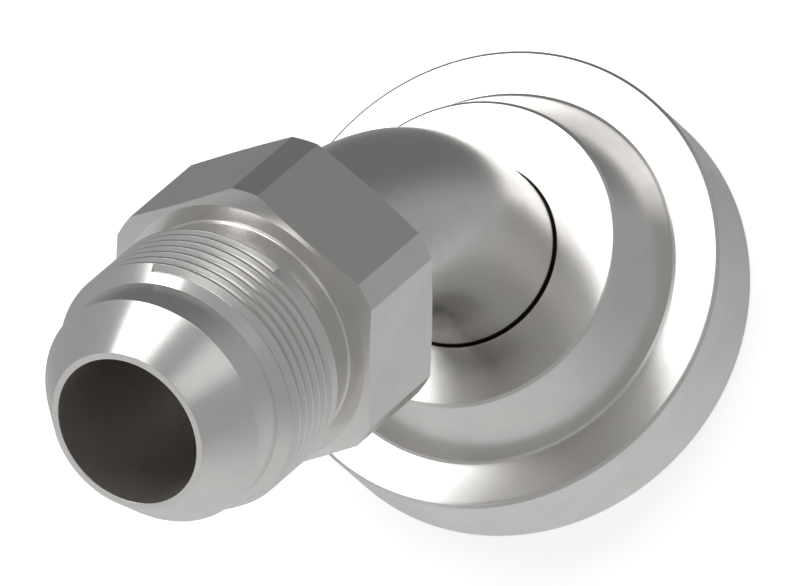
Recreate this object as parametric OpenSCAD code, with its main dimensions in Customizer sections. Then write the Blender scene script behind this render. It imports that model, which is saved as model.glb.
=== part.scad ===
// Flange elbow adapter for a high pressure hydraulic line. A bent steel tube is brazed between
// a clamp flange head with a face seal and a hexagon connector with a flared male end.
// The part stands on its sealing face at Z = 0, with the flange axis on Z. The bend lies in
// the XZ plane and turns the outlet towards +X. Lengths along the outlet are measured from
// the corner, the point where the two straight axes would cross.

/* [Flange head] */
// Diameter of the clamp head
head_d = 47.63; // [45:0.01:54]
// Thickness of the clamp head between sealing face and shoulder
head_t = 9.53; // [8:0.01:12]
// Width of the broken edge on both rims of the head
head_edge = 0.28; // [0.1:0.01:0.8]
// Diameter of the tapered hub where it meets the shoulder
hub_toe_d = 38.26; // [35:0.01:42]
// Diameter of the tapered hub at its top edge
hub_top_d = 31.9; // [27:0.01:34]
// Height of the hub above the shoulder
hub_h = 8.1; // [7:0.01:12]
// Width of the broken edge at the top of the hub
hub_edge = 0.28; // [0.1:0.01:0.8]

/* [Face seal] */
// Outer diameter of the seal groove
groove_d = 39.8; // [38.6:0.01:42]
// Width of the seal groove
groove_w = 3.95; // [3.7:0.01:4.4]
// Depth of the seal groove
groove_h = 2.8; // [2.4:0.01:3.2]
// Section of the round seal before it is squeezed
seal_section = 3.53; // [3.3:0.01:3.6]

/* [Tube] */
// Outer diameter of the tube
tube_d = 19.05; // [18:0.01:20]
// Bore of the tube, flange head and connector
flow_d = 15.5; // [14:0.01:16]
// Angle between the flange axis and the outlet axis
bend_angle = 45; // [30:1:60]
// Radius of the bend on the tube's centre line
bend_r = 34; // [28:0.1:36]
// Height of the corner above the sealing face
corner_h = 35.83; // [35:0.01:48]

/* [Brazed joints] */
// Amount by which the tube is turned down, on the radius, for its spigots
spigot_step = 0.7; // [0.5:0.01:0.9]
// Depth of the socket that takes a spigot
socket_depth = 6.6; // [5:0.1:7.5]
// Depth of the wider mouth in front of the socket
mouth_depth = 3.4; // [2.5:0.1:4]
// Height of the braze ring in the mouth
braze_h = 1.6; // [1:0.1:2]
// Gap that stays open between the tube's shoulder and the socket's face
seam_gap = 0.47; // [0.3:0.01:0.8]
// Width of the broken edge around the mouth
mouth_edge = 0.3; // [0.1:0.01:0.5]

/* [Connector hexagon] */
// Width across the flats of the hexagon
hex_af = 28.575; // [28:0.001:32]
// Diameter over the rounded corners of the hexagon
hex_corner_d = 31.46; // [31:0.01:34]
// Distance from the corner to the rear face of the hexagon
hex_start = 18.37; // [18:0.01:22]
// Length of the hexagon between its two faces
hex_len = 12.46; // [10:0.01:14]
// Diameter of the flat faces where the chamfers begin
hex_face_d = 27.66; // [26:0.01:27.9]
// Slope of the hexagon's end chamfers
hex_chamfer_angle = 11.7; // [5:0.1:30]

/* [Thread] */
// Outer diameter of the thread
thread_d = 26.8; // [26:0.01:27.2]
// Distance between neighbouring turns, as the photograph draws it
thread_pitch = 1.25; // [1.1:0.01:1.6]
// Depth of the thread groove on the radius
thread_depth = 0.75; // [0.5:0.01:0.9]
// Angle between the flanks of the thread groove
thread_angle = 60; // [50:1:60]
// Length from the relief's edge to the lead-in chamfer's foot
thread_len = 9.2; // [8:0.01:11]
// Number of turns that the groove makes
thread_turns = 6.11; // [4:0.01:6.11]

/* [Relief and flared nose] */
// Diameter of the relief behind the thread
relief_d = 24.1; // [23.4:0.01:24.6]
// Length from the hexagon's face to the far edge of the relief
relief_len = 4.47; // [3.8:0.01:6]
// Rise of the low boss in front of the hexagon
boss_h = 0.37; // [0.2:0.01:0.6]
// Radius of the fillet between the boss and the relief
boss_fillet = 0.4; // [0.2:0.01:0.6]
// Radius where the relief rises to the thread
relief_fillet = 1.5; // [1:0.01:1.8]
// Diameter of the plain nose in front of the thread
nose_d = 23.9; // [23.2:0.01:24.6]
// Length of the plain nose
nose_len = 3.63; // [2.5:0.01:5]
// Angle of the flare cone against the outlet axis
flare_angle = 37; // [30:1:45]
// Diameter of the flat ring at the tip
tip_d = 16.92; // [16.5:0.01:18]

/* [Hidden] */
$fn = 96;
eps = 0.01;
over = 1;
// Clearance of a spigot in its socket, on the radius
spigot_fit = 0.05;
// Clearance of the tube's full diameter in the mouth, on the radius
mouth_fit = 0.145;
// Clearance of the braze ring in its mouth, on the radius
braze_fit = 0.02;
// Clearance of the seal against the outer wall of its groove, and below the sealing face
seal_fit = 0.05;
// Amount by which the bend's wall is slimmer, on the diameter, than the straight ends
bend_slim = 0.04;
// Length by which the straight ends lap over the bend
bend_lap = 0.05;
hub_top = head_t + hub_h;
spigot_d = tube_d - 2 * spigot_step;
socket_d = spigot_d + 2 * spigot_fit;
mouth_d = tube_d + 2 * mouth_fit;
bend_tangent = bend_r * tan(bend_angle / 2);
bend_h = corner_h - bend_tangent;
hex_end = hex_start + hex_len;
relief_end = hex_end + relief_len;
thread_end = relief_end + thread_len;
nose_end = thread_end + nose_len;
tip = nose_end + (nose_d - tip_d) / 2 / tan(flare_angle);
lead_in = (thread_d - nose_d) / 2;
chamfer_rise = (hex_corner_d - hex_face_d) / 2 * tan(hex_chamfer_angle);
// Azimuth about the outlet at which the groove starts on the lead-in chamfer
thread_start = 190;
// Length of the lead-in chamfer that the groove's first turn crosses
thread_run_in = 0.85;
// Height by which the groove's cutter stands out of the thread
thread_cut = 0.25;
// Steps in one turn of the thread groove
thread_steps = 36;

// Moves its children onto the outlet axis, at a distance from the corner.
module on_outlet(s = 0) {
    translate([0, 0, corner_h]) rotate([0, bend_angle, 0]) translate([0, 0, s]) children();
}

// Space that a brazed joint takes out of a piece. Its face is at Z = 0 and it goes down.
module joint_socket() {
    translate([0, 0, -socket_depth]) cylinder(d = socket_d, h = socket_depth + over);
    translate([0, 0, -mouth_depth]) cylinder(d = mouth_d, h = mouth_depth + over);
    translate([0, 0, -mouth_edge])
        cylinder(d1 = mouth_d, d2 = mouth_d + 2 * (mouth_edge + over), h = mouth_edge + over);
}

// Straight end of the tube from the bend's edge at Z = 0 to its shoulder, with the spigot
// beyond it. It laps over the bend, whose section came out a hair slimmer.
module tube_end(straight) {
    foot = straight + seam_gap + socket_depth;
    rotate_extrude() polygon([
        [flow_d / 2, -bend_lap], [tube_d / 2, -bend_lap], [tube_d / 2, straight],
        [spigot_d / 2, straight], [spigot_d / 2, foot], [flow_d / 2, foot]]);
}

// Ring of braze on the floor of the mouth, with the hollow surface that it sets with.
module joint_braze() {
    inner = spigot_d / 2 + braze_fit;
    outer = mouth_d / 2 - braze_fit;
    wide = outer - inner;
    translate([0, 0, -mouth_depth]) rotate_extrude() difference() {
        translate([inner, 0]) square([wide, braze_h]);
        translate([(inner + outer) / 2, braze_h + wide * 0.35]) circle(d = wide);
    }
}

module flange_head() {
    r = head_d / 2;
    color("gainsboro") difference() {
        rotate_extrude() polygon([
            [0, 0], [r - head_edge, 0], [r, head_edge], [r, head_t - head_edge],
            [r - head_edge, head_t], [hub_toe_d / 2, head_t],
            [hub_top_d / 2, hub_top - hub_edge], [hub_top_d / 2 - hub_edge, hub_top],
            [0, hub_top]]);
        translate([0, 0, -over]) cylinder(d = flow_d, h = hub_top + 2 * over);
        translate([0, 0, hub_top]) joint_socket();
        translate([0, 0, -over]) difference() {
            cylinder(d = groove_d, h = groove_h + over);
            translate([0, 0, -eps]) cylinder(d = groove_d - 2 * groove_w, h = groove_h + over + 2 * eps);
        }
    }
}

// The round seal as it lies when the head is clamped: flattened between two planes.
module face_seal() {
    tall = groove_h - seal_fit;
    centre_r = groove_d / 2 - seal_fit - seal_section / 2;
    color("dimgray") translate([0, 0, seal_fit + tall / 2]) rotate_extrude()
        translate([centre_r, 0]) intersection() {
            circle(d = seal_section);
            square([seal_section + over, tall], center = true);
        }
}

module flange_braze_ring() {
    color("darkgoldenrod") translate([0, 0, hub_top]) joint_braze();
}

module outlet_braze_ring() {
    color("darkgoldenrod") on_outlet(hex_start) mirror([0, 0, 1]) joint_braze();
}

module elbow_tube() {
    color("silver") {
        translate([0, 0, bend_h]) mirror([0, 0, 1]) tube_end(bend_h - hub_top - seam_gap);
        translate([bend_r, 0, bend_h]) rotate([90, 0, 0]) rotate([0, 0, 180 - bend_angle])
            rotate_extrude(angle = bend_angle) translate([bend_r, 0]) difference() {
                circle(d = tube_d - bend_slim);
                circle(d = flow_d + bend_slim);
            }
        on_outlet(bend_tangent) tube_end(hex_start - seam_gap - bend_tangent);
    }
}

// Hexagon bar turned at both ends: rounded corners, sloping chamfers and flat faces.
module hexagon() {
    intersection() {
        cylinder(d = hex_af / cos(30), h = hex_len, $fn = 6);
        rotate_extrude() polygon([
            [0, 0], [hex_face_d / 2, 0], [hex_corner_d / 2, chamfer_rise],
            [hex_corner_d / 2, hex_len - chamfer_rise], [hex_face_d / 2, hex_len], [0, hex_len]]);
    }
}

// Rounded corners at both ends of the relief, as a half section.
module relief_corners() {
    neck = relief_d / 2;
    rise = relief_len - (thread_d - relief_d) / 2;
    reach = relief_fillet * tan(45 / 2);
    translate([neck, boss_h]) difference() {
        translate([-eps, -eps]) square(boss_fillet + eps);
        translate([boss_fillet, boss_fillet]) circle(boss_fillet);
    }
    translate([neck, rise]) difference() {
        polygon([[-eps, -reach], [0, -reach], [reach * sin(45), reach * cos(45)],
            [0, reach]]);
        translate([relief_fillet, -reach]) circle(relief_fillet);
    }
}

// Everything in front of the hexagon, with Z = 0 at the hexagon's face.
module turned_end() {
    core = relief_d / 2 - over;
    thread_foot = relief_len + thread_len;
    rotate_extrude() {
        polygon([
            [0, -over], [core, -over], [core, 0], [hex_face_d / 2, 0],
            [relief_d / 2 + boss_fillet, boss_h], [relief_d / 2, boss_h],
            [relief_d / 2, relief_len - (thread_d - relief_d) / 2], [thread_d / 2, relief_len],
            [thread_d / 2, thread_foot - lead_in], [nose_d / 2, thread_foot],
            [nose_d / 2, thread_foot + nose_len], [tip_d / 2, tip - hex_end], [0, tip - hex_end]]);
        relief_corners();
    }
}

// Cutter for the thread: a V section carried along a right hand helix, towards the hexagon.
module thread_cutter() {
    root = thread_d / 2 - thread_depth;
    out = thread_d / 2 + thread_cut;
    half = (out - root) * tan(thread_angle / 2);
    steps = ceil(thread_turns * thread_steps);
    start_z = relief_len + thread_len - lead_in + thread_run_in;
    section = [[root, 0], [out, half], [out, -half]];
    points = [for (i = [0:steps]) let (t = i / thread_steps, a = thread_start - 360 * t)
        for (q = section) [q[0] * cos(a), q[0] * sin(a), start_z - thread_pitch * t + q[1]]];
    sides = [for (i = [0:steps - 1], k = [0:2]) let (a = 3 * i + k, b = 3 * i + (k + 1) % 3)
        each [[a, b, a + 3], [b, b + 3, a + 3]]];
    last = 3 * steps;
    polyhedron(points, concat([[0, 2, 1]], sides, [[last, last + 1, last + 2]]));
}

module connector_body() {
    color("lightgray") on_outlet(hex_start) difference() {
        union() {
            hexagon();
            translate([0, 0, hex_len]) turned_end();
        }
        translate([0, 0, -over]) cylinder(d = flow_d, h = tip - hex_start + 2 * over);
        mirror([0, 0, 1]) joint_socket();
        translate([0, 0, hex_len]) thread_cutter();
    }
}

flange_head();
face_seal();
flange_braze_ring();
elbow_tube();
outlet_braze_ring();
connector_body();
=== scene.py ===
# %% [markdown]
# # Flange elbow adapter
#
# A steel adapter for a high pressure hydraulic line, made of a clamp flange head, a bent
# tube and a hexagon connector with a flared male end, all brazed together. The six solids
# of the frame give the sizes. Here each of them gets a finer skin and its plated finish.
# Every length on the adapter is written in millimetres and becomes metres when a mesh is
# made. The studio round it is written in metres.

import math

import bmesh
import bpy
import numpy as np
from mathutils import Matrix


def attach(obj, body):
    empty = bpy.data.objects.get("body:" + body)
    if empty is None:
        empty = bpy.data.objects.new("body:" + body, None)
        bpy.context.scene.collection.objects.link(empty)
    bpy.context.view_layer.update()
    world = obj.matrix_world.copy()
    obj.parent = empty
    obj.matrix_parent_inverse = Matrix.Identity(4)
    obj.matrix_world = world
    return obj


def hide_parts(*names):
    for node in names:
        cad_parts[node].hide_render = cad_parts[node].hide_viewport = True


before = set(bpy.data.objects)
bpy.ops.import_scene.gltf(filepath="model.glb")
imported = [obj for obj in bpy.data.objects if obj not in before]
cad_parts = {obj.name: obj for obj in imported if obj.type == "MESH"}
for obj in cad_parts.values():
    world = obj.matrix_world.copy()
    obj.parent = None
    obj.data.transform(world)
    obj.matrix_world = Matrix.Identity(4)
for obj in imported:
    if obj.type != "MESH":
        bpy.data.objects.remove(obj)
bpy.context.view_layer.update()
MM = 0.001
FULL_TURN = 2 * math.pi
print("solids:", sorted(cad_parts))

# %% [markdown]
# ## A skin from a grid
#
# Every piece of this adapter is turned, drawn or screw cut, so each surface is a function
# of two parameters: one runs along a profile and the other round an axis. A grid of points
# over both gives the quads at once. Where a seam or a pole makes points coincide they are
# merged, so each skin is closed. A modifier stack could bend and bevel plain cylinders
# instead, but then the sizes would only be near the drawing's, not on it.

# %% Helper: mesh from a grid of points
STEEL_CREASE = math.radians(10.5)
MERGE_REACH, SLIVER = 0.002, 0.0005


def skin(name, points, coords, crease=STEEL_CREASE, wrap=True, bore=None):
    """Closed mesh from points[row, column] in mm: each cell of the grid is one quad, rows
    wrap round a closed profile, and columns wrap round the axis where wrap is true.
    coords[row, column] holds the (along, around) pair kept as the piece's UV map, and bore
    is 1 in the rows that the oil touches."""
    rows, cols = points.shape[:2]
    if wrap:
        points = np.concatenate([points, points[:, :1]], axis=1)
        last = coords[:, :1] + [0.0, 1.0]
        coords = np.concatenate([coords, last], axis=1)
        cols += 1
    points = np.concatenate([points, points[:1]], axis=0)
    coords = np.concatenate([coords, coords[:1]], axis=0)
    index = np.arange((rows + 1) * cols).reshape(rows + 1, cols)
    quads = np.stack([index[:-1, :-1], index[1:, :-1], index[1:, 1:], index[:-1, 1:]], axis=-1)
    quads = quads.reshape(-1, 4)
    mesh = bpy.data.meshes.new(name)
    mesh.from_pydata((points.reshape(-1, 3) * MM).tolist(), [], quads.tolist())
    layer = mesh.uv_layers.new(name="lay")
    layer.data.foreach_set("uv", coords.reshape(-1, 2)[quads.ravel()].ravel())
    inside = np.zeros(rows) if bore is None else np.array(bore, float)
    inside = np.repeat(np.append(inside, inside[0]), cols)
    mesh.attributes.new("bore", "FLOAT", "POINT").data.foreach_set("value", inside)
    bm = bmesh.new()
    bm.from_mesh(mesh)
    bmesh.ops.remove_doubles(bm, verts=bm.verts, dist=MERGE_REACH * MM)
    bmesh.ops.dissolve_degenerate(bm, edges=bm.edges, dist=SLIVER * MM)
    if bm.calc_volume(signed=True) < 0:
        bmesh.ops.reverse_faces(bm, faces=bm.faces)
    open_edges = sum(not edge.is_manifold for edge in bm.edges)
    bm.to_mesh(mesh)
    bm.free()
    mesh.shade_smooth()
    mesh.set_sharp_from_angle(angle=crease)
    obj = bpy.data.objects.new(name, mesh)
    bpy.context.scene.collection.objects.link(obj)
    print(name, "faces:", len(mesh.polygons), "open edges:", open_edges)
    return obj


# %% [markdown]
# ## Profiles with broken edges
#
# A turned edge is never a perfect corner. The tool breaks it by a tenth or two, and that
# tiny round is what catches a thin line of light. So a profile is written as corners, each
# with its own small radius, and the helper swaps each corner for a short arc.

# %% Helper: rounded corners
ARC_STEP = math.radians(8)


def rounded(corners):
    """Closed outline from corners (radius from axis, height, corner radius): at each corner
    the arc of that radius touches both sides at radius * tan(turn / 2) from the corner."""
    corners = np.array(corners, float)
    here = corners[:, :2]
    before = here - np.roll(here, 1, axis=0)
    after = np.roll(here, -1, axis=0) - here
    outline = []
    for point, radius, a, b in zip(here, corners[:, 2], before, after):
        if radius == 0:
            outline.append(point[None])
            continue
        a = a / np.linalg.norm(a)
        b = b / np.linalg.norm(b)
        turn = math.atan2(a[0] * b[1] - a[1] * b[0], a @ b)
        reach = radius * math.tan(abs(turn) / 2)
        side = np.array([-a[1], a[0]]) * math.copysign(1, turn)
        centre = point - a * reach + side * radius
        steps = np.linspace(0, turn, 2 + int(abs(turn) / ARC_STEP))
        spoke = -side * radius
        outline.append(centre + np.stack([
            spoke[0] * np.cos(steps) - spoke[1] * np.sin(steps),
            spoke[0] * np.sin(steps) + spoke[1] * np.cos(steps)], axis=1))
    return np.concatenate(outline)


def supported(outline, reach=0.35):
    """The same outline with an extra point near both ends of each long side, so that smooth
    shading stays flat in the middle of the side and turns only in the arc."""
    after = np.roll(outline, -1, axis=0)
    run = np.linalg.norm(after - outline, axis=1)
    share = np.minimum(reach / np.maximum(run, 1e-9), 0.5)[:, None]
    near = outline + (after - outline) * share
    far = after - (after - outline) * share
    is_long = run > 3 * reach
    keep = np.stack([np.ones(len(run), bool), is_long, is_long], axis=1)
    return np.stack([outline, near, far], axis=1)[keep]


# %% Helper: a profile carried round an axis
def length_along(outline):
    """Distance along an outline from its first point to each of its points."""
    step = np.linalg.norm(np.diff(outline, axis=0), axis=1)
    return np.concatenate([[0.0], np.cumsum(step)])


def carried_round(outline, place, sides):
    """Grid of a surface of revolution: outline point i at angle a goes to
    place(radius, height, a), and its UV pair is (distance along the outline, turn)."""
    angle = np.arange(sides) * FULL_TURN / sides
    radius = outline[:, :1] + 0 * angle
    height = outline[:, 1:] + 0 * angle
    turn = angle / FULL_TURN + 0 * radius
    along = length_along(outline)[:, None] * MM + 0 * turn
    return place(radius, height, angle + 0 * radius), np.stack([along, turn], axis=-1)


def about_flange(radius, height, angle):
    """Flange axis: x = radius cos(angle), y = radius sin(angle), z = height."""
    return np.stack([radius * np.cos(angle), radius * np.sin(angle), height], axis=-1)


# %% [markdown]
# ## The outlet axis
#
# The tube turns by 45 degrees. Its two straight axes cross at a corner 35.83 mm above the
# sealing face, and lengths on the outlet are counted from there, as a fitter would count
# a centre-to-end length. At angle 0 a point lies on the inner side of the bend.

# %% Helper: places on the outlet
CORNER_H = 35.83
BEND = math.radians(45)


def about_outlet(radius, height, angle):
    """Outlet axis: the flange placement turned by the bend angle about Y, then moved up to
    the corner: x = h sin b + r cos a cos b, y = r sin a, z = corner + h cos b - r cos a sin b."""
    lean = radius * np.cos(angle)
    return np.stack([height * math.sin(BEND) + lean * math.cos(BEND),
                     radius * np.sin(angle) + 0 * height,
                     CORNER_H + height * math.cos(BEND) - lean * math.sin(BEND)], axis=-1)


# %% [markdown]
# ## Flange head
#
# The head is a turned steel disc that two clamp halves press onto a port. On its shoulder
# stands a tapered hub with a socket for the tube. A lathe makes it in one go, so one closed
# profile carried round the flange axis does too: sealing face with the seal groove, rim,
# shoulder, hub, mouth, socket and bore. EDGE is the flat that the tool leaves on a corner,
# and the breaks and fillets are the small radii beside it.

# %% Flange head
HEAD_R, HEAD_T, EDGE = 23.815, 9.53, 0.3
HUB_TOE_R, HUB_TOP_R, HUB_TOP = 19.13, 15.95, 17.63
TOE_OUT, TOE_IN = 0.18, 0.07
BORE_R, SOCKET_R, MOUTH_R = 7.75, 8.875, 9.67
GROOVE_IN, GROOVE_OUT, GROOVE_H = 15.95, 19.9, 2.8
SOCKET_DEPTH, MOUTH_DEPTH, MOUTH_EDGE = 6.6, 3.4, 0.1
BREAK, TOE_BREAK, MOUTH_BREAK, BORE_BREAK = 0.1, 0.06, 0.05, 0.2
GROOVE_FILLET, MOUTH_FILLET = 0.3, 0.15
HEAD_SIDES = 240


def in_bore(radius):
    """True where a row's radius is the bore's, so that the oil touches it."""
    return radius < BORE_R + 0.01


head_outline = supported(rounded([
    (BORE_R, 0, BORE_BREAK), (GROOVE_IN, 0, BREAK), (GROOVE_IN, GROOVE_H, GROOVE_FILLET),
    (GROOVE_OUT, GROOVE_H, GROOVE_FILLET), (GROOVE_OUT, 0, BREAK),
    (HEAD_R - EDGE, 0, BREAK), (HEAD_R, EDGE, BREAK),
    (HEAD_R, HEAD_T - EDGE, BREAK), (HEAD_R - EDGE, HEAD_T, BREAK),
    (HUB_TOE_R + TOE_OUT, HEAD_T, TOE_BREAK), (HUB_TOE_R - TOE_IN, HEAD_T + TOE_OUT, TOE_BREAK),
    (HUB_TOP_R, HUB_TOP - EDGE, BREAK), (HUB_TOP_R - EDGE, HUB_TOP, BREAK),
    (MOUTH_R + MOUTH_EDGE, HUB_TOP, MOUTH_BREAK), (MOUTH_R, HUB_TOP - MOUTH_EDGE, MOUTH_BREAK),
    (MOUTH_R, HUB_TOP - MOUTH_DEPTH, MOUTH_FILLET), (SOCKET_R, HUB_TOP - MOUTH_DEPTH, BREAK),
    (SOCKET_R, HUB_TOP - SOCKET_DEPTH, 0), (BORE_R, HUB_TOP - SOCKET_DEPTH, 0)]))
head = skin("flange_head_skin", *carried_round(head_outline, about_flange, HEAD_SIDES),
            bore=in_bore(head_outline[:, 0]))
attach(head, "root")
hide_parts("flange_head")

# %% [markdown]
# ## Face seal and braze rings
#
# The rubber ring is squeezed flat between the groove's floor and the port, so its section
# is a circle cut by two planes. Each braze ring is what is left on the floor of its mouth
# after the filler has run into the socket: it climbs both walls and sinks in the middle.
# Both are profiles carried round an axis.

# %% Face seal
SEAL_R, SEAL_MID, SEAL_LOW, SEAL_TOP = 1.765, 18.085, 0.05, 2.8
SEAL_POINTS, SEAL_SIDES, SEAL_CREASE = 56, 200, math.radians(40)
spread = np.linspace(0, FULL_TURN, SEAL_POINTS, endpoint=False)
seal_outline = np.stack([
    SEAL_MID + SEAL_R * np.cos(spread),
    np.clip((SEAL_LOW + SEAL_TOP) / 2 + SEAL_R * np.sin(spread), SEAL_LOW, SEAL_TOP)], axis=1)
seal = skin("face_seal_skin", *carried_round(seal_outline, about_flange, SEAL_SIDES),
            crease=SEAL_CREASE)
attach(seal, "root")
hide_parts("face_seal")

# %% Braze rings
BRAZE_IN, BRAZE_OUT, BRAZE_H, BRAZE_SINK = 8.845, 9.65, 1.6, 0.32
BRAZE_POINTS, BRAZE_SIDES = 15, 160
HEX_START, HEX_END = 18.37, 30.83


def braze_outline(floor, way):
    """Section of the set braze: a floor and two walls, and a top that sinks from both walls
    as a parabola. way is 1 where the mouth opens upwards and -1 where it opens back."""
    across = np.linspace(-1, 1, BRAZE_POINTS)
    middle, half = (BRAZE_IN + BRAZE_OUT) / 2, (BRAZE_OUT - BRAZE_IN) / 2
    top = floor + way * (BRAZE_H - BRAZE_SINK * (1 - across ** 2))
    foot = [(middle + half, floor), (middle - half, floor)]
    return np.concatenate([np.stack([middle + half * across, top], axis=1), foot])


flange_braze = skin("flange_braze_skin", *carried_round(
    braze_outline(HUB_TOP - MOUTH_DEPTH, 1), about_flange, BRAZE_SIDES))
outlet_braze = skin("outlet_braze_skin", *carried_round(
    braze_outline(HEX_START + MOUTH_DEPTH, -1), about_outlet, BRAZE_SIDES))
for ring, solid in ((flange_braze, "flange_braze_ring"), (outlet_braze, "outlet_braze_ring")):
    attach(ring, "root")
    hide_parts(solid)

# %% [markdown]
# ## Elbow tube
#
# The tube is cold drawn, cut, turned down at both ends and bent. Its centre line is straight,
# then an arc, then straight again. A profile of radius against distance travelled holds the
# wall, the shoulders and the spigots, and is carried along that line. A curve object with
# a bevel would give the same bend but not the turned steps at its ends.

# %% Helper: places along the bent line
BEND_R = 34.0
BEND_START = CORNER_H - BEND_R * math.tan(BEND / 2)
BEND_RUN = BEND_R * BEND


def about_bend(radius, travel, angle):
    """The centre line rises to the bend, turns by t = (travel - start) / R held between 0 and
    the bend angle, and goes on straight. The ring at each point stands square to the line."""
    turn = np.clip((travel - BEND_START) / BEND_R, 0, BEND)
    before = np.minimum(travel, BEND_START)
    after = np.maximum(travel - BEND_START - BEND_RUN, 0)
    x = BEND_R * (1 - np.cos(turn)) + after * math.sin(BEND)
    z = before + BEND_R * np.sin(turn) + after * math.cos(BEND)
    lean = radius * np.cos(angle)
    return np.stack([x + lean * np.cos(turn), radius * np.sin(angle),
                     z - lean * np.sin(turn)], axis=-1)


# %% [markdown]
# Between each shoulder of the tube and its socket's face a thin seam stays open. The wall
# has many rows, inside and outside, so that the bend is round.

# %% Elbow tube
TUBE_R, SPIGOT_R, SEAM_GAP = 9.525, 8.825, 0.4
SHOULDER_BREAK, SHOULDER_FILLET = 0.12, 0.05
WALL_ROWS, WALL_MARGIN, TUBE_SIDES = 96, 0.4, 168

low_shoulder = HUB_TOP + SEAM_GAP
low_end = HUB_TOP - SOCKET_DEPTH
outlet_shift = BEND_START + BEND_RUN - BEND_R * math.tan(BEND / 2)
high_shoulder = outlet_shift + HEX_START - SEAM_GAP
high_end = outlet_shift + HEX_START + SOCKET_DEPTH
tube_corners = rounded([
    (BORE_R, low_end, 0), (SPIGOT_R, low_end, BREAK), (SPIGOT_R, low_shoulder, SHOULDER_FILLET),
    (TUBE_R, low_shoulder, SHOULDER_BREAK), (TUBE_R, high_shoulder, SHOULDER_BREAK),
    (SPIGOT_R, high_shoulder, SHOULDER_FILLET), (SPIGOT_R, high_end, BREAK),
    (BORE_R, high_end, 0)])
wall = np.linspace(low_shoulder + WALL_MARGIN, high_shoulder - WALL_MARGIN, WALL_ROWS)[:, None]
outer = np.flatnonzero(np.isclose(tube_corners[:, 0], TUBE_R))
split = outer[len(outer) // 2 - 1] + 1
tube_outline = np.concatenate([
    tube_corners[:split], np.concatenate([0 * wall + TUBE_R, wall], axis=1),
    tube_corners[split:], np.concatenate([0 * wall + BORE_R, wall[::-1]], axis=1)])
tube = skin("elbow_tube_skin", *carried_round(tube_outline, about_bend, TUBE_SIDES),
            bore=in_bore(tube_outline[:, 0]))
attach(tube, "root")
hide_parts("elbow_tube")
print("tube wall from", round(low_shoulder, 2), "to", round(high_shoulder, 2), "mm of travel")

# %% [markdown]
# ## Connector
#
# The connector starts as hexagon bar. A lathe chamfers both ends of the hexagon, cuts the
# relief, the lead-in chamfer, the nose and the 37 degree flare, and last the thread. Only
# two things on it depend on the angle: the distance to the hexagon's sides, and the screw
# thread. So the grid has columns of constant angle, and each row gives radius and height as
# functions of that angle. The thread could be a helix swept and subtracted, but a boolean
# on so many thin ridges leaves ragged shading, while this grid follows them exactly.

# %% Columns of the connector
THREAD_START, THREAD_END = math.radians(192.4), math.radians(150.0)
HEX_R, HEX_CORNER_R = 14.2875, 15.73
PLAIN_COLUMNS = 217
corner_half = math.acos(HEX_R / HEX_CORNER_R)
flat_middles = np.radians(np.arange(-330, 391, 60))
flat_ends = np.concatenate([flat_middles - corner_half, flat_middles + corner_half])
angle = np.linspace(THREAD_START - FULL_TURN, THREAD_START, PLAIN_COLUMNS)
angle = np.concatenate([angle, flat_ends[(flat_ends > angle[0]) & (flat_ends < angle[-1])]])
angle = np.sort(np.concatenate([angle, [THREAD_END, THREAD_END, THREAD_START]]))
end_column = np.flatnonzero(np.isclose(angle, THREAD_END))
print("columns round the connector:", len(angle))

# %% [markdown]
# The hexagon's side is at 14.29 mm in the middle of a flat and runs out as one over the
# cosine, until the turned corner cuts it off at 15.73 mm. Each end chamfer rises from a
# flat face by a fifth of a millimetre for every millimetre outwards.

# %% Rows of the hexagon
FACE_R, CHAMFER_SLOPE = 13.83, math.tan(math.radians(11.7))
CHAMFER_ROWS = np.array([0.0, 0.1, 0.5, 0.9, 1.0])[:, None]
FLANK_ROWS = np.array([0.03, 0.3, 0.5, 0.7, 0.97])[:, None]
from_flat = (angle % math.radians(60)) - math.radians(30)
side = np.minimum(HEX_R / np.cos(from_flat), HEX_CORNER_R)
drop = (side - FACE_R) * CHAMFER_SLOPE
rear_r, rear_s = FACE_R + CHAMFER_ROWS * (side - FACE_R), HEX_START + CHAMFER_ROWS * drop
front_r, front_s = rear_r[::-1], HEX_END - (CHAMFER_ROWS * drop)[::-1]
flank_s = rear_s[-1] + FLANK_ROWS * (front_s[0] - rear_s[-1])
flank_r = side + 0 * flank_s
hex_rows = (np.concatenate([rear_r, flank_r, front_r]),
            np.concatenate([rear_s, flank_s, front_s]))
print("hexagon:", 2 * HEX_R, "mm across flats,", 2 * HEX_CORNER_R, "mm over its corners")

# %% [markdown]
# The thread is right handed with a pitch of 1.25 mm. Its section over one pitch is a narrow
# crest, a flank that faces the nose, a narrow root and a flank back up, with nearly 60
# degrees between the flanks. On the grid it is a height along the screw, which slides by
# one pitch per turn. The thread starts in the lead-in chamfer with a square end and stops
# just before the relief.

# %% Section of the thread
PITCH, GROOVE_DEPTH, TOOTH_BREAK = 1.25, 0.70, 0.04
CREST_WIDTH, CREST_MIDDLE = 0.27, -0.13
ROOT_FROM, ROOT_TO = 0.39, 0.61
tooth = rounded([
    (-CREST_WIDTH, 0.0, 0), (0.0, 0.0, TOOTH_BREAK), (ROOT_FROM, GROOVE_DEPTH, TOOTH_BREAK),
    (ROOT_TO, GROOVE_DEPTH, TOOTH_BREAK), (PITCH - CREST_WIDTH, 0.0, 0)])
tooth = np.concatenate([tooth, [[CREST_MIDDLE, 0.0]]])
tooth = tooth[np.argsort(tooth[:, 0])][:-1]
print("points of the thread's section:", len(tooth))

# %% [markdown]
# Grooves are counted from the nose. The first one cut is number 0, and a few more lie past
# both ends without a depth, so that the screw has rows in every column. The lead-in chamfer
# is a cone on which radius and height add up to CONE_SUM. Where a groove runs out in it, a
# row is added on the very line where the two surfaces cross.

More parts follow.
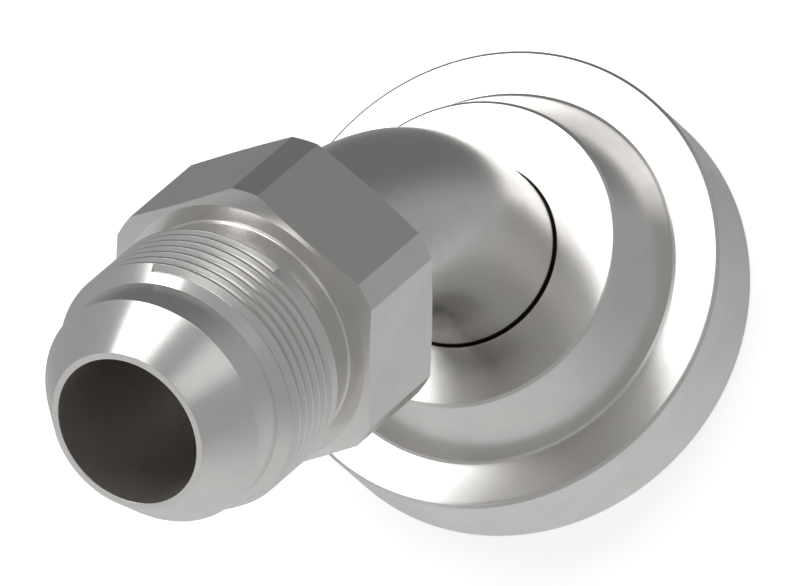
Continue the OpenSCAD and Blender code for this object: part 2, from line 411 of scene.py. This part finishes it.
# %% Rows of the thread
CREST_R, CREST_AT, RELIEF_END = 13.4, 42.957, 35.3
CONE_SUM, NOSE_R = 56.4, 11.95
CONE_END = CONE_SUM - NOSE_R
HIGHEST_GROOVE, LOWEST_GROOVE, LAST_CUT = 7, -3, 6
TINY = 1e-6


def screw_rows(angle, uncut):
    """Radius and height of the thread: height = crest line - pitch * groove + offset + pitch *
    (angle - 180 degrees) / 360, radius = crest - depth, never above the chamfer cone. A groove
    exists between its first and last turn, and elsewhere its depth is zero. Between two rows
    on either side of the cone, a third one lies where the line between them meets it."""
    groove = np.arange(HIGHEST_GROOVE, LOWEST_GROOVE - 1, -1)[:, None, None]
    offset, depth = tooth[None, :, :1], tooth[None, :, 1:]
    height = CREST_AT - PITCH * groove + offset + PITCH * (angle - math.pi) / FULL_TURN
    turns = groove + (THREAD_START - angle) / FULL_TURN
    last = LAST_CUT + (THREAD_START - THREAD_END) / FULL_TURN
    cut = (turns >= -TINY) & (turns <= last + TINY) & ~uncut
    cut = cut & (height > RELIEF_END + 100 * TINY) & (depth > 0)
    height = np.clip(height, RELIEF_END, CONE_END)
    rows = np.stack([CREST_R - depth * cut, height]).reshape(2, -1, angle.size)
    above = rows.sum(axis=0) - CONE_SUM
    step = above[:-1] - above[1:]
    crosses = above[:-1] * above[1:] < 0
    way = np.where(crosses, above[:-1] / np.where(crosses, step, 1), 0)
    meeting = rows[:, :-1] + way * (rows[:, 1:] - rows[:, :-1])
    paired = np.stack([rows[:, :-1], meeting], axis=2).reshape(2, -1, angle.size)
    rows = np.concatenate([paired, rows[:, -1:]], axis=1)
    return np.minimum(rows[0], CONE_SUM - rows[1]), rows[1]


# %% [markdown]
# Both ends of the groove are square steps, so two columns lie there at one angle: one of
# them carries the groove and the other one doesn't.

# %% Square ends of the groove
uncut = np.zeros((HIGHEST_GROOVE - LOWEST_GROOVE + 1, 1, angle.size), bool)
uncut[HIGHEST_GROOVE, 0, -1] = uncut[HIGHEST_GROOVE + 1, 0, 0] = True
uncut[HIGHEST_GROOVE - LAST_CUT, 0, : end_column[0] + 1] = True
screw_r, screw_s = screw_rows(angle, uncut)
print("rows of the thread:", len(screw_r))

# %% [markdown]
# What is left is the same at every angle: the socket behind the hexagon, its flat front
# face and the relief, the nose, the flare and the bore. A corner inside the metal closes
# the outline of the relief and of the nose for the helper, and is cut off again.

# %% Rows at the same height all round
TIP_R, TIP_S, NOSE_S = 8.46, 52.76, 48.13
FLARE_BREAK, TIP_BREAK = 0.12, 0.06
NECK_R, NECK_END, NECK_FILLET, HEX_FILLET = 12.05, 33.95, 1.5, 0.3
back_part = rounded([
    (BORE_R, HEX_START + SOCKET_DEPTH, 0), (SOCKET_R, HEX_START + SOCKET_DEPTH, 0),
    (SOCKET_R, HEX_START + MOUTH_DEPTH, BREAK), (MOUTH_R, HEX_START + MOUTH_DEPTH, MOUTH_FILLET),
    (MOUTH_R, HEX_START + MOUTH_EDGE, MOUTH_BREAK), (MOUTH_R + MOUTH_EDGE, HEX_START, MOUTH_BREAK),
    (FACE_R, HEX_START, 0)])[:-1]
neck_part = rounded([
    (FACE_R, HEX_END, 0), (NECK_R, HEX_END, HEX_FILLET), (NECK_R, NECK_END, NECK_FILLET),
    (CREST_R, RELIEF_END, 0), (BORE_R, 33.0, 0)])[1:-2]
nose_part = rounded([
    (BORE_R, CONE_END - 1, 0), (NOSE_R, CONE_END, 0), (NOSE_R, NOSE_S, FLARE_BREAK),
    (TIP_R, TIP_S, FLARE_BREAK), (BORE_R, TIP_S, TIP_BREAK),
    (BORE_R, HEX_START + SOCKET_DEPTH + 0.5, 0)])[2:]


def all_round(part):
    """Rows whose radius and height don't depend on the angle."""
    return part[:, :1] + 0 * angle, part[:, 1:] + 0 * angle


print("rows of socket, relief and nose:", len(back_part), len(neck_part), len(nose_part))

# %% The whole connector
blocks = [all_round(back_part), hex_rows, all_round(neck_part), (screw_r, screw_s),
          all_round(nose_part)]
radius = np.concatenate([block[0] for block in blocks])
height = np.concatenate([block[1] for block in blocks])
travel = np.concatenate([[0 * angle], np.cumsum(np.hypot(
    np.diff(radius, axis=0), np.diff(height, axis=0)), axis=0)])
lay = np.stack([travel * MM, angle / FULL_TURN + 0 * travel], axis=-1)
connector = skin("connector_skin", about_outlet(radius, height, angle + 0 * height), lay,
                 wrap=False, bore=in_bore(radius.max(axis=1)))
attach(connector, "root")
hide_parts("connector_body")

# %% [markdown]
# ## Finish
#
# All three steel pieces carry the same thin bright plating. It is satin, not polished: the
# tool marks of the lathe show through it as faint rings, the drawn tube shows faint lines
# along its length, and the plating itself is slightly cloudy. One node group makes the rings
# from the distance to an axis and the height along it, and another makes the cloud.

# %% Helpers: groups and nodes


def new_group(name, inputs, outputs):
    """A shader node group with named float, vector or colour sockets, and its end nodes."""
    group = bpy.data.node_groups.new(name, "ShaderNodeTree")
    for label, kind, value in inputs:
        socket = group.interface.new_socket(label, in_out="INPUT", socket_type=kind)
        if value is not None:
            socket.default_value = value
    for label, kind in outputs:
        group.interface.new_socket(label, in_out="OUTPUT", socket_type=kind)
    return group, group.nodes.new("NodeGroupInput"), group.nodes.new("NodeGroupOutput")


def node(tree, kind, label="", **settings):
    """A node of that kind with its settings and input values. in_3 or in_Scale names an
    input, and its value may be a socket, which is then linked."""
    made = tree.nodes.new(kind)
    made.label = label
    for key, value in settings.items():
        if hasattr(made, key) and not key.startswith("in_"):
            setattr(made, key, value)
            continue
        place = key[3:]
        socket = made.inputs[int(place) if place.isdigit() else place.replace("_", " ")]
        if isinstance(value, bpy.types.NodeSocket):
            tree.links.new(value, socket)
        else:
            socket.default_value = value
    return made


def maths(tree, operation, *values, label=""):
    """The result of a Math node: a root, a sum, a product or a * b + c of numbers and of
    other nodes' sockets."""
    places = {f"in_{place}": value for place, value in enumerate(values)}
    return node(tree, "ShaderNodeMath", label, operation=operation, **places).outputs[0]


# %% Group: rings left by the lathe
BAND_SHARE = 0.12
rings, rings_in, rings_out = new_group(
    "lathe rings",
    [("Place", "NodeSocketVector", None), ("Rings per mm", "NodeSocketFloat", 4.0)],
    [("Height", "NodeSocketFloat"), ("Tone", "NodeSocketFloat")])
x, y, z = node(rings, "ShaderNodeSeparateXYZ", in_0=rings_in.outputs["Place"]).outputs
squares = maths(rings, "MULTIPLY_ADD", y, y, maths(rings, "MULTIPLY", x, x))
off_axis = maths(rings, "SQRT", squares, label="distance to the axis")
section = node(rings, "ShaderNodeCombineXYZ", in_0=off_axis, in_1=z, in_2=0.0).outputs[0]
per_metre = maths(rings, "MULTIPLY", rings_in.outputs["Rings per mm"], 1 / MM)
fine = node(rings, "ShaderNodeTexNoise", "tool marks", noise_dimensions="3D",
            in_Vector=section, in_Scale=per_metre, in_Detail=2.0, in_Roughness=0.6)
broad = node(rings, "ShaderNodeTexNoise", "bands", noise_dimensions="3D", in_Vector=section,
             in_Scale=maths(rings, "MULTIPLY", per_metre, BAND_SHARE), in_Detail=1.0)
rings.links.new(fine.outputs["Fac"], rings_out.inputs["Height"])
rings.links.new(broad.outputs["Fac"], rings_out.inputs["Tone"])
print("nodes in lathe rings:", len(rings.nodes))

# %% Group: cloudy plating
BRIGHT, DULL = (0.76, 0.747, 0.73, 1), (0.71, 0.697, 0.68, 1)
CLOUDS_PER_METRE, GRAINS_PER_METRE = 220.0, 5200.0
CLOUD_SHARE, STREAK_SHARE = 0.65, 0.35
cloud, cloud_in, cloud_out = new_group(
    "plating cloud",
    [("Place", "NodeSocketVector", None), ("Bright", "NodeSocketColor", BRIGHT),
     ("Dull", "NodeSocketColor", DULL), ("Streak", "NodeSocketFloat", 0.5)],
    [("Color", "NodeSocketColor"), ("Mask", "NodeSocketFloat"), ("Grain", "NodeSocketFloat")])
drift = node(cloud, "ShaderNodeTexNoise", "cloud", in_Vector=cloud_in.outputs["Place"],
             in_Scale=CLOUDS_PER_METRE, in_Detail=4.0, in_Roughness=0.55)
speck = node(cloud, "ShaderNodeTexNoise", "grain", in_Vector=cloud_in.outputs["Place"],
             in_Scale=GRAINS_PER_METRE, in_Detail=2.0)
patch = node(cloud, "ShaderNodeMapRange", in_Value=drift.outputs["Fac"], in_1=0.35, in_2=0.65)
blend = maths(cloud, "MULTIPLY", patch.outputs[0], CLOUD_SHARE)
blend = maths(cloud, "MULTIPLY_ADD", cloud_in.outputs["Streak"], STREAK_SHARE, blend)
tint = node(cloud, "ShaderNodeMix", "plating colour", data_type="RGBA", in_0=blend,
            in_6=cloud_in.outputs["Dull"], in_7=cloud_in.outputs["Bright"])
cloud.links.new(tint.outputs[2], cloud_out.inputs["Color"])
cloud.links.new(blend, cloud_out.inputs["Mask"])
cloud.links.new(speck.outputs["Fac"], cloud_out.inputs["Grain"])
print("nodes in plating cloud:", len(cloud.nodes))

# %% [markdown]
# A material puts the two groups together. On the connector the rings must run round the
# outlet, so a Mapping node first turns the piece's own coordinates onto the flange axis.
# On the tube the marks run along the length, so they are read from its UV map instead.
# The bore is left rougher than the outside, and a little warmer in tone.

# %% Helper: steel material
BORE_COLOUR, BORE_DULLER = (0.74, 0.71, 0.68, 1), 0.2
ROUGH_SPREAD, GRAIN_SHARE = 0.03, 0.25
DRAWN_SCALE = (0.15, 0.06, 1)
MARK_DEPTH = 0.002


def steel(name, rough, ring_count, turned=False, drawn=False):
    """Plated steel: colour from the cloud, roughness between two values by cloud and bands,
    and a shallow bump from the tool marks and the grain."""
    material = bpy.data.materials.new(name)
    material.use_nodes = True
    tree = material.node_tree
    shader = tree.nodes["Principled BSDF"]
    shader.inputs["Metallic"].default_value = 1.0
    place = node(tree, "ShaderNodeTexCoord").outputs["Object"]
    if turned:
        centred = node(tree, "ShaderNodeMapping", vector_type="POINT", in_0=place,
                       in_1=(0, 0, -CORNER_H * MM))
        place = node(tree, "ShaderNodeMapping", vector_type="POINT", in_0=centred.outputs[0],
                     in_2=(0, -BEND, 0)).outputs[0]
    marks_at = place
    if drawn:
        coords = node(tree, "ShaderNodeUVMap", uv_map="lay")
        marks_at = node(tree, "ShaderNodeMapping", vector_type="POINT", in_0=coords.outputs[0],
                        in_3=DRAWN_SCALE).outputs[0]
    marks = node(tree, "ShaderNodeGroup", node_tree=rings, in_0=marks_at, in_1=ring_count)
    plating = node(tree, "ShaderNodeGroup", node_tree=cloud, in_0=place, in_1=BRIGHT, in_2=DULL,
                   in_3=marks.outputs["Tone"])
    wetted = node(tree, "ShaderNodeAttribute", attribute_name="bore").outputs["Fac"]
    colour = node(tree, "ShaderNodeMix", "bore colour", data_type="RGBA", in_0=wetted,
                  in_6=plating.outputs["Color"], in_7=BORE_COLOUR)
    tree.links.new(colour.outputs[2], shader.inputs["Base Color"])
    gloss = node(tree, "ShaderNodeMapRange", "roughness", in_Value=plating.outputs["Mask"],
                 in_3=rough + ROUGH_SPREAD, in_4=rough - ROUGH_SPREAD)
    duller = maths(tree, "MULTIPLY_ADD", wetted, BORE_DULLER, gloss.outputs[0])
    tree.links.new(duller, shader.inputs["Roughness"])
    relief = maths(tree, "MULTIPLY_ADD", plating.outputs["Grain"], GRAIN_SHARE,
                   marks.outputs["Height"])
    bump = node(tree, "ShaderNodeBump", in_Strength=0.5, in_Distance=MARK_DEPTH * MM,
                in_Height=relief)
    tree.links.new(bump.outputs[0], shader.inputs["Normal"])
    print(name, "nodes:", len(tree.nodes))
    return material


# %% Steel finishes
for piece, finish in (
        (head, steel("plated flange steel", 0.22, ring_count=5.0)),
        (tube, steel("plated drawn tube", 0.23, ring_count=9.0, drawn=True)),
        (connector, steel("plated turned connector", 0.22, ring_count=6.0, turned=True))):
    piece.data.materials.append(finish)

# %% [markdown]
# ## Braze and rubber
#
# The braze is a dull dark brown filler with the lumpy skin of a metal that set by itself.
# The seal is matt black rubber with a faint bloom. Both sit deep in their joints.

# %% Braze and rubber materials
GLOSS_SPREAD = 0.1


def plain_finish(name, dark, light, metallic, rough, scale, depth):
    """Colour between two tones by noise, with the same noise as a bump of that depth."""
    material = bpy.data.materials.new(name)
    material.use_nodes = True
    tree = material.node_tree
    shader = tree.nodes["Principled BSDF"]
    shader.inputs["Metallic"].default_value = metallic
    place = node(tree, "ShaderNodeTexCoord").outputs["Object"]
    lumps = node(tree, "ShaderNodeTexNoise", in_Vector=place, in_Scale=scale,
                 in_Detail=5.0).outputs["Fac"]
    tint = node(tree, "ShaderNodeMix", data_type="RGBA", in_0=lumps, in_6=dark, in_7=light)
    gloss = node(tree, "ShaderNodeMapRange", in_Value=lumps, in_3=rough + GLOSS_SPREAD,
                 in_4=rough - GLOSS_SPREAD)
    bump = node(tree, "ShaderNodeBump", in_Strength=0.6, in_Distance=depth * MM, in_Height=lumps)
    tree.links.new(tint.outputs[2], shader.inputs["Base Color"])
    tree.links.new(gloss.outputs[0], shader.inputs["Roughness"])
    tree.links.new(bump.outputs[0], shader.inputs["Normal"])
    print(name, "nodes:", len(tree.nodes))
    return material


filler = plain_finish("set braze", dark=(0.06, 0.045, 0.028, 1), light=(0.16, 0.12, 0.07, 1),
                      metallic=0.6, rough=0.6, scale=900.0, depth=0.06)
rubber = plain_finish("seal rubber", dark=(0.012, 0.012, 0.013, 1), light=(0.03, 0.03, 0.031, 1),
                      metallic=0.0, rough=0.62, scale=1400.0, depth=0.01)
for ring in (flange_braze, outlet_braze):
    ring.data.materials.append(filler)
seal.data.materials.append(rubber)

# %% [markdown]
# ## Floor, light and camera
#
# The adapter stands on its sealing face on a pale floor. Two soft boxes hang level over it,
# one in front and one at the side, and they give the white streaks on the turned metal. The
# room around is a plain grey with a few soft lighter and darker sides, so the satin metal
# has something to mirror. Camera rays see white behind the object, and the floor keeps the
# object's shadow. The metal mirrors the room but not the floor, which would turn it white.

# %% Floor
FLOOR_REACH, FLOOR_DROP = 1.6, 2e-5
PAPER, PAPER_ROUGH, FLOOR_LIFT = (0.82, 0.82, 0.82, 1), 0.9, 0.58
WHITE = (1, 1, 1, 1)
floor_mesh = bpy.data.meshes.new("floor")
floor_mesh.from_pydata([
    (-FLOOR_REACH, -FLOOR_REACH, -FLOOR_DROP), (FLOOR_REACH, -FLOOR_REACH, -FLOOR_DROP),
    (FLOOR_REACH, FLOOR_REACH, -FLOOR_DROP), (-FLOOR_REACH, FLOOR_REACH, -FLOOR_DROP)],
    [], [(0, 1, 2, 3)])
floor = bpy.data.objects.new("floor", floor_mesh)
bpy.context.scene.collection.objects.link(floor)
floor.visible_glossy = False
floor_paint = bpy.data.materials.new("pale floor")
floor_paint.use_nodes = True
tree = floor_paint.node_tree
paper = tree.nodes["Principled BSDF"]
paper.inputs["Base Color"].default_value = PAPER
paper.inputs["Roughness"].default_value = PAPER_ROUGH
paper.inputs["Specular IOR Level"].default_value = 0.0
ray = node(tree, "ShaderNodeLightPath")
whiten = maths(tree, "MULTIPLY", ray.outputs["Is Camera Ray"], FLOOR_LIFT)
lift = node(tree, "ShaderNodeEmission", in_Color=WHITE, in_Strength=whiten)
both = node(tree, "ShaderNodeAddShader", in_0=paper.outputs[0], in_1=lift.outputs[0])
tree.links.new(both.outputs[0], tree.nodes["Material Output"].inputs["Surface"])
floor_mesh.materials.append(floor_paint)
print("floor is", 2 * FLOOR_REACH, "m wide")

# %% World
ROOM_LEVEL = 0.40
world = bpy.data.worlds.new("studio")
bpy.context.scene.world = world
world.use_nodes = True
tree = world.node_tree
toward = node(tree, "ShaderNodeTexCoord").outputs["Generated"]


def facing(direction, low, high, strength):
    """Light from one side: strength times how far the ray's direction, dotted with that
    side, is between low and high. A strength below zero darkens that side."""
    length = math.sqrt(sum(c * c for c in direction))
    dot = node(tree, "ShaderNodeVectorMath", operation="DOT_PRODUCT", in_0=toward,
               in_1=[c / length for c in direction])
    ramp = node(tree, "ShaderNodeMapRange", interpolation_type="SMOOTHSTEP",
                in_Value=dot.outputs["Value"], in_1=low, in_2=high, in_3=0.0, in_4=strength)
    return ramp.outputs[0]


SIDES = [
    ((0.60, 0.15, -0.78), 0.20, 1.0, 0.27),
    ((-0.88, -0.32, -0.34), 0.62, 0.94, -0.22),
    ((0.484, -0.228, 0.845), 0.96, 0.995, 0.9),
    ((-0.21, 0.66, 0.72), 0.93, 0.997, 0.42),
    ((0.89, -0.455, 0.03), 0.84, 0.985, 0.22),
]
room = ROOM_LEVEL
for side_of_room in SIDES:
    room = maths(tree, "ADD", facing(*side_of_room), room)
sky = node(tree, "ShaderNodeBackground", in_Color=WHITE, in_Strength=room)
white = node(tree, "ShaderNodeBackground", in_Color=WHITE, in_Strength=1.0)
ray = node(tree, "ShaderNodeLightPath")
both = node(tree, "ShaderNodeMixShader", in_0=ray.outputs["Is Camera Ray"], in_1=sky.outputs[0],
            in_2=white.outputs[0])
tree.links.new(both.outputs[0], tree.nodes["World Output"].inputs["Surface"])
print("sides of the room:", len(SIDES))

# %% Soft boxes
BOX_HEIGHT = 1.0


def soft_box(name, middle, size, turned, radiance):
    """A rectangular lamp that hangs level at BOX_HEIGHT metres over the floor, turned by
    that many degrees, and shines straight down. Its power is radiance * pi * area."""
    lamp = bpy.data.lights.new(name, "AREA")
    lamp.shape = "RECTANGLE"
    lamp.size, lamp.size_y = size
    lamp.energy = radiance * math.pi * size[0] * size[1]
    obj = bpy.data.objects.new(name, lamp)
    bpy.context.scene.collection.objects.link(obj)
    obj.location = (middle[0], middle[1], BOX_HEIGHT)
    obj.rotation_euler = (0, 0, math.radians(turned))
    print(name, "power", round(lamp.energy, 2))


soft_box("box in front", middle=(-0.335, -0.65), size=(0.83, 0.55), turned=0, radiance=2.4)
soft_box("box at the side", middle=(-1.07, 0.05), size=(1.55, 0.745), turned=-38.5, radiance=1.5)

# %% [markdown]
# The photograph was taken with a very long lens, so the camera stands far off and its
# place and turn follow from the ellipses of the flange and of the nose.

# %% Camera
SENSOR, FOCAL = 36.0, 1200.0
TURN = [[-0.35996, -0.9166, 0.17398], [0.86586, -0.25877, 0.42817],
        [-0.34744, 0.30476, 0.8868]]
STAND = np.array([464.02, 1123.13, 2354.09])
lens = bpy.data.cameras.new("camera")
lens.sensor_width = SENSOR
lens.lens = FOCAL
camera = bpy.data.objects.new("camera", lens)
bpy.context.scene.collection.objects.link(camera)
pose = Matrix(TURN).to_4x4()
pose.translation = (STAND * MM).tolist()
camera.matrix_world = pose
bpy.context.scene.camera = camera
bpy.context.scene.view_settings.view_transform = "Standard"
print("camera stands", round(float(np.linalg.norm(STAND)) * MM, 2), "m away")

# %% [markdown]
# ## Last step
#
# The skins must not make the part larger or smaller than its drawing. At the end the view
# layer is brought up to date.

# %% Bring the scene up to date
bpy.context.view_layer.update()
